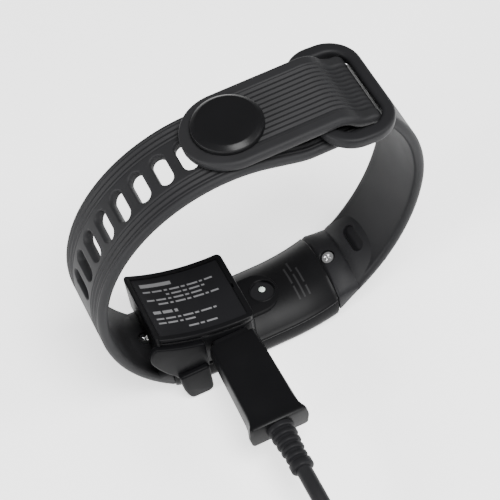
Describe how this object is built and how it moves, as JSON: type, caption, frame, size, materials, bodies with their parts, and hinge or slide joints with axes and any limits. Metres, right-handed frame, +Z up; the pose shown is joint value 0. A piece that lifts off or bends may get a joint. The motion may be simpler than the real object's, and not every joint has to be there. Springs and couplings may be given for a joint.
{
  "type": "fitness tracker band",
  "caption": "Closed elastomer wristband with a curved tracker module, stud and loop closure, clipped in its charging cradle with the lead plugged in",
  "frame": {"origin": "centre of the flat display face, which lies on the ground", "axes": "+X along the tracker module towards the short strap, -Y out of the charging socket along the lead, +Z up through the loop"},
  "size_m": [0.1175, 0.1192, 0.0684],
  "materials": {
    "display_glass": "polished black cover lens",
    "display_film": "dark display film",
    "adhesive": "thin adhesive sheet",
    "case_plastic": "fine satin",
    "cover_plastic": "satin",
    "seal_rubber": "soft",
    "battery_foil": "dull laminated foil",
    "foam": "open cell foam",
    "board_green": "solder mask over woven glass",
    "chip_black": "moulded epoxy",
    "window_clear": "clear smoked",
    "led_lens": "clear epoxy over green dies",
    "photodiode": "dark epoxy",
    "contact_gold": "gold plated",
    "antenna_ceramic": "fired ceramic",
    "motor_steel": "drawn can",
    "rotor_tungsten": "sintered",
    "insert_brass": "turned",
    "screw_steel": "plated",
    "strap_rubber": "soft charcoal elastomer with fine ribs",
    "short_strap_rubber": "soft charcoal elastomer, smooth",
    "stud_black": "satin top, polished bevel",
    "stud_post": "moulded",
    "cradle_plastic": "satin moulding",
    "label_film": "printed film",
    "clip_plastic": "satin moulding",
    "socket_steel": "folded tinned steel",
    "tongue_plastic": "moulded insulator",
    "plug_plastic": "satin overmould",
    "relief_rubber": "soft moulded sleeve",
    "cord_rubber": "smooth cable jacket",
    "tie_fabric": "woven hook and loop"
  },
  "bodies": {
    "band": {"antenna": "antenna_ceramic", "back_cover": "cover_plastic", "back_seal": "seal_rubber", "battery": "battery_foil", "battery_foam": "foam", "board_chips": "chip_black", "charge_contacts": "contact_gold", "coil_tie": "tie_fabric", "cord_coil": "cord_rubber", "cord_end": "cord_rubber", "cord_run": "cord_rubber", "display_adhesive": "adhesive", "display_lens": "display_glass", "display_panel": "display_film", "front_case": "case_plastic", "long_strap": "strap_rubber", "lug_inserts": "insert_brass", "main_board": "board_green", "motor_can": "motor_steel", "sensor_board": "board_green", "sensor_led": "led_lens", "sensor_photodiode": "photodiode", "sensor_window": "window_clear", "short_strap": "short_strap_rubber", "strap_screws": "screw_steel", "usb_contacts": "contact_gold", "usb_overmould": "plug_plastic", "usb_shell": "socket_steel", "usb_strain_relief": "relief_rubber", "usb_tongue": "tongue_plastic"},
    "charger": {"cradle_base": "cradle_plastic", "cradle_cover": "cradle_plastic", "cradle_label": "label_film", "cradle_board": "board_green", "cradle_chips": "chip_black", "socket_shell": "socket_steel", "socket_tongue": "tongue_plastic", "pogo_barrels": "contact_gold"},
    "clip": {"clip_arm": "clip_plastic"},
    "spring_pins": {"pogo_plungers": "contact_gold"},
    "micro_plug": {"micro_plug_overmould": "plug_plastic", "micro_plug_shell": "socket_steel", "micro_plug_contacts": "contact_gold", "micro_strain_relief": "relief_rubber"},
    "tail": {"strap_tail": "strap_rubber", "stud_cap": "stud_black", "stud_post": "stud_post"},
    "rotor": {"motor_rotor": "rotor_tungsten"}
  },
  "joints": [
    {"name": "tail_peel", "type": "hinge", "parent": "band", "child": "tail", "pos_m": [0.02215, 0, 0.06525], "axis": [0, 1, 0], "range_deg": [0, 80]},
    {"name": "charger_lift", "type": "slide", "parent": "band", "child": "charger", "axis": [0, 0, 1], "range_m": [0, 0.018], "deforming": ["cord_run"]},
    {"name": "plug_pull", "type": "slide", "parent": "charger", "child": "micro_plug", "axis": [0, -1, 0], "range_m": [0, 0.0065], "deforming": ["cord_run"]},
    {"name": "clip_flex", "type": "hinge", "parent": "charger", "child": "clip", "pos_m": [-0.018, -0.0104, 0.0198], "axis": [-1, 0, 0], "range_deg": [0, 8], "stiffness_Nm_per_rad": 0.004},
    {"name": "pin_press", "type": "slide", "parent": "charger", "child": "spring_pins", "axis": [0, 0, 1], "range_m": [0, 0.0004], "stiffness_N_per_m": 2},
    {"name": "motor_turn", "type": "hinge", "parent": "band", "child": "rotor", "pos_m": [0.0152, 0.003, 0.00295], "axis": [1, 0, 0], "continuous": true}
  ]
}
